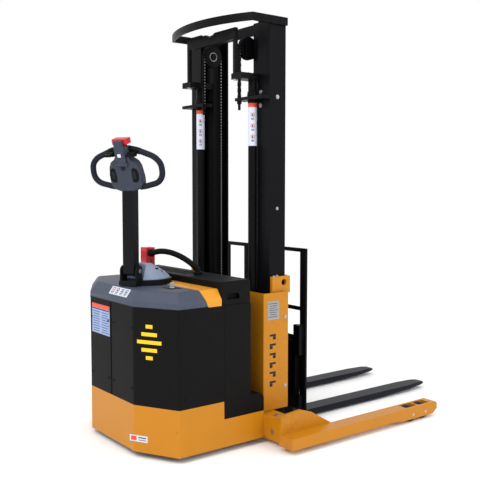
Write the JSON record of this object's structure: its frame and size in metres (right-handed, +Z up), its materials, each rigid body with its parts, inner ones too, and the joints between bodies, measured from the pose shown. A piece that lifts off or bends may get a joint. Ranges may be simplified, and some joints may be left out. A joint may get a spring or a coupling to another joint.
{
  "type": "walkie stacker",
  "caption": "Pedestrian electric straddle stacker: boxed drive unit with tiller, two-stage mast, fork carriage with backrest and straddle legs on load wheels.",
  "frame": {"origin": "centre of the truck's box, on the floor", "axes": "+Y along the forks, +X to the truck's right side as the forks point, +Z up"},
  "size_m": [1.316, 2.089, 2.078],
  "materials": {
    "frame_yellow": "semi-gloss paint",
    "cover_black": "satin moulding",
    "lid_grey": "satin moulding",
    "mast_black": "satin paint",
    "fork_grey": "satin paint",
    "bare_steel": "machined",
    "rod_chrome": "polished",
    "chain_steel": "oiled",
    "cast_grey": "as cast, painted",
    "unit_alloy": "as cast",
    "battery_case": "painted",
    "wheel_tread": "polyurethane",
    "cable_rubber": "matt",
    "tube_black": "satin paint",
    "head_grey": "textured moulding",
    "cover_silver": "satin moulding",
    "control_black": "satin moulding",
    "button_red": "gloss",
    "button_yellow": "gloss",
    "button_white": "gloss"
  },
  "bodies": {
    "chassis": {"base_frame": "frame_yellow", "rear_cover_left": "cover_black", "rear_cover_right": "cover_black", "top_lid": "lid_grey", "lid_strap": "frame_yellow", "battery_box": "cover_black", "battery_cover": "cover_black", "battery_tray": "cover_black", "battery": "battery_case", "battery_socket": "control_black", "battery_cable": "cable_rubber", "hydraulic_unit": "unit_alloy", "motor_controller": "unit_alloy", "cross_beam": "frame_yellow", "leg_bolts": "bare_steel", "outer_mast_left": "mast_black", "outer_mast_right": "mast_black", "outer_mast_ties": "mast_black", "mast_cover_left": "frame_yellow", "mast_cover_right": "frame_yellow", "lifting_lugs": "frame_yellow", "lift_cylinders": "mast_black", "top_guard": "mast_black"},
    "steering_unit": {"tiller_base": "tube_black", "tiller_cover": "cover_silver", "drive_motor": "mast_black", "drive_gearbox": "cast_grey"},
    "drive_wheel": {"drive_wheel": "wheel_tread"},
    "tiller": {"tiller_tube": "tube_black", "tiller_head": "head_grey"},
    "throttle": {"throttle": "control_black"},
    "belly_button": {"belly_button": "button_red"},
    "horn_button": {"horn_button": "button_yellow"},
    "raise_button": {"raise_button": "button_white"},
    "lower_button": {"lower_button": "button_white"},
    "caster_left": {"caster_fork_left": "bare_steel"},
    "caster_right": {"caster_fork_right": "bare_steel"},
    "caster_wheel_left": {"caster_wheel_left": "wheel_tread"},
    "caster_wheel_right": {"caster_wheel_right": "wheel_tread"},
    "leg_left": {"leg_left": "frame_yellow"},
    "leg_right": {"leg_right": "frame_yellow"},
    "load_wheel_left_rear": {"load_wheel_left_rear": "wheel_tread"},
    "load_wheel_left_front": {"load_wheel_left_front": "wheel_tread"},
    "load_wheel_right_rear": {"load_wheel_right_rear": "wheel_tread"},
    "load_wheel_right_front": {"load_wheel_right_front": "wheel_tread"},
    "inner_mast": {"inner_mast_left": "mast_black", "inner_mast_right": "mast_black", "inner_mast_ties": "mast_black", "lift_rods": "rod_chrome", "lift_chains": "chain_steel"},
    "chain_sheaves": {"chain_sheaves": "bare_steel"},
    "mast_rollers": {"mast_rollers": "bare_steel"},
    "carriage": {"carriage_frame": "mast_black", "load_backrest": "mast_black"},
    "carriage_rollers_upper": {"carriage_rollers_upper": "bare_steel"},
    "carriage_rollers_lower": {"carriage_rollers_lower": "bare_steel"},
    "fork_left": {"fork_left": "fork_grey"},
    "fork_right": {"fork_right": "fork_grey"},
    "battery_plug": {"disconnect_plug": "button_red"},
    "ignition_key": {"ignition_key": "bare_steel"}
  },
  "joints": [
    {"name": "steering", "type": "hinge", "parent": "chassis", "child": "steering_unit", "pos_m": [0, -0.8, 0.776], "axis": [0, 0, 1], "range_deg": [-118, 62]},
    {"name": "drive_wheel_spin", "type": "hinge", "parent": "steering_unit", "child": "drive_wheel", "pos_m": [0, -0.8, 0.115], "axis": [0.8829, 0.4695, 0], "continuous": true},
    {"name": "tiller_tilt", "type": "hinge", "parent": "steering_unit", "child": "tiller", "pos_m": [0.06197, -0.91654, 0.848], "axis": [0.8829, 0.4695, 0], "range_deg": [0, 80], "stiffness_Nm_per_rad": 22, "springref_deg": -20.05},
    {"name": "throttle_turn", "type": "hinge", "parent": "tiller", "child": "throttle", "pos_m": [0.09494, -0.97855, 1.39834], "axis": [0.8829, 0.4695, 0], "range_deg": [-40, 40], "stiffness_Nm_per_rad": 0.4},
    {"name": "belly_button_push", "type": "slide", "parent": "tiller", "child": "belly_button", "axis": [-0.1451, 0.2728, -0.9511], "range_m": [0, 0.006], "stiffness_N_per_m": 1500},
    {"name": "horn_button_push", "type": "slide", "parent": "tiller", "child": "horn_button", "axis": [-0.4465, 0.8397, 0.309], "range_m": [0, 0.0025], "stiffness_N_per_m": 900},
    {"name": "raise_button_push", "type": "slide", "parent": "tiller", "child": "raise_button", "axis": [-0.4465, 0.8397, 0.309], "range_m": [0, 0.0025], "stiffness_N_per_m": 900},
    {"name": "lower_button_push", "type": "slide", "parent": "tiller", "child": "lower_button", "axis": [-0.4465, 0.8397, 0.309], "range_m": [0, 0.0025], "stiffness_N_per_m": 900},
    {"name": "caster_swivel_left", "type": "hinge", "parent": "chassis", "child": "caster_left", "pos_m": [-0.33, -0.79, 0.142], "axis": [0, 0, 1], "continuous": true},
    {"name": "caster_spin_left", "type": "hinge", "parent": "caster_left", "child": "caster_wheel_left", "pos_m": [-0.33, -0.814, 0.05], "axis": [1, 0, 0], "continuous": true},
    {"name": "caster_swivel_right", "type": "hinge", "parent": "chassis", "child": "caster_right", "pos_m": [0.33, -0.79, 0.142], "axis": [0, 0, 1], "continuous": true},
    {"name": "caster_spin_right", "type": "hinge", "parent": "caster_right", "child": "caster_wheel_right", "pos_m": [0.33, -0.814, 0.05], "axis": [1, 0, 0], "continuous": true},
    {"name": "leg_spread_left", "type": "slide", "parent": "chassis", "child": "leg_left", "axis": [-1, 0, 0], "range_m": [-0.02, 0.12]},
    {"name": "load_wheel_spin_left_rear", "type": "hinge", "parent": "leg_left", "child": "load_wheel_left_rear", "pos_m": [-0.617, 0.442, 0.04], "axis": [1, 0, 0], "continuous": true},
    {"name": "load_wheel_spin_left_front", "type": "hinge", "parent": "leg_left", "child": "load_wheel_left_front", "pos_m": [-0.617, 0.542, 0.04], "axis": [1, 0, 0], "continuous": true},
    {"name": "leg_spread_right", "type": "slide", "parent": "chassis", "child": "leg_right", "axis": [1, 0, 0], "range_m": [-0.02, 0.12]},
    {"name": "load_wheel_spin_right_rear", "type": "hinge", "parent": "leg_right", "child": "load_wheel_right_rear", "pos_m": [0.617, 0.442, 0.04], "axis": [1, 0, 0], "continuous": true},
    {"name": "load_wheel_spin_right_front", "type": "hinge", "parent": "leg_right", "child": "load_wheel_right_front", "pos_m": [0.617, 0.542, 0.04], "axis": [1, 0, 0], "continuous": true},
    {"name": "mast_lift", "type": "slide", "parent": "chassis", "child": "inner_mast", "axis": [0, 0, 1], "range_m": [0, 1.35], "deforming": ["lift_chains"]},
    {"name": "sheave_turn", "type": "hinge", "parent": "inner_mast", "child": "chain_sheaves", "pos_m": [0, -0.287, 1.945], "axis": [1, 0, 0], "range_deg": [0, 1434]},
    {"name": "mast_roller_spin", "type": "hinge", "parent": "inner_mast", "child": "mast_rollers", "pos_m": [0, -0.24399, 0.16], "axis": [1, 0, 0], "continuous": true},
    {"name": "carriage_lift", "type": "slide", "parent": "inner_mast", "child": "carriage", "axis": [0, 0, 1], "range_m": [0, 1.35]},
    {"name": "carriage_roller_spin_upper", "type": "hinge", "parent": "carriage", "child": "carriage_rollers_upper", "pos_m": [0, -0.21399, 0.47], "axis": [1, 0, 0], "continuous": true},
    {"name": "carriage_roller_spin_lower", "type": "hinge", "parent": "carriage", "child": "carriage_rollers_lower", "pos_m": [0, -0.21399, 0.15], "axis": [1, 0, 0], "continuous": true},
    {"name": "fork_shift_left", "type": "slide", "parent": "carriage", "child": "fork_left", "axis": [-1, 0, 0], "range_m": [-0.015, 0.045]},
    {"name": "fork_shift_right", "type": "slide", "parent": "carriage", "child": "fork_right", "axis": [1, 0, 0], "range_m": [-0.015, 0.045]},
    {"name": "battery_plug_pull", "type": "slide", "parent": "chassis", "child": "battery_plug", "axis": [0, 0, 1], "range_m": [0, 0.04], "deforming": ["battery_cable"]},
    {"name": "ignition_turn", "type": "hinge", "parent": "chassis", "child": "ignition_key", "pos_m": [0.25, -0.805, 0.776], "axis": [0, 0, 1], "range_deg": [0, 60]}
  ],
  "couplings": [
    {"joint": "carriage_lift", "follows": "mast_lift", "ratio": 1},
    {"joint": "sheave_turn", "follows": "mast_lift", "rad_per_m": 18.518}
  ]
}
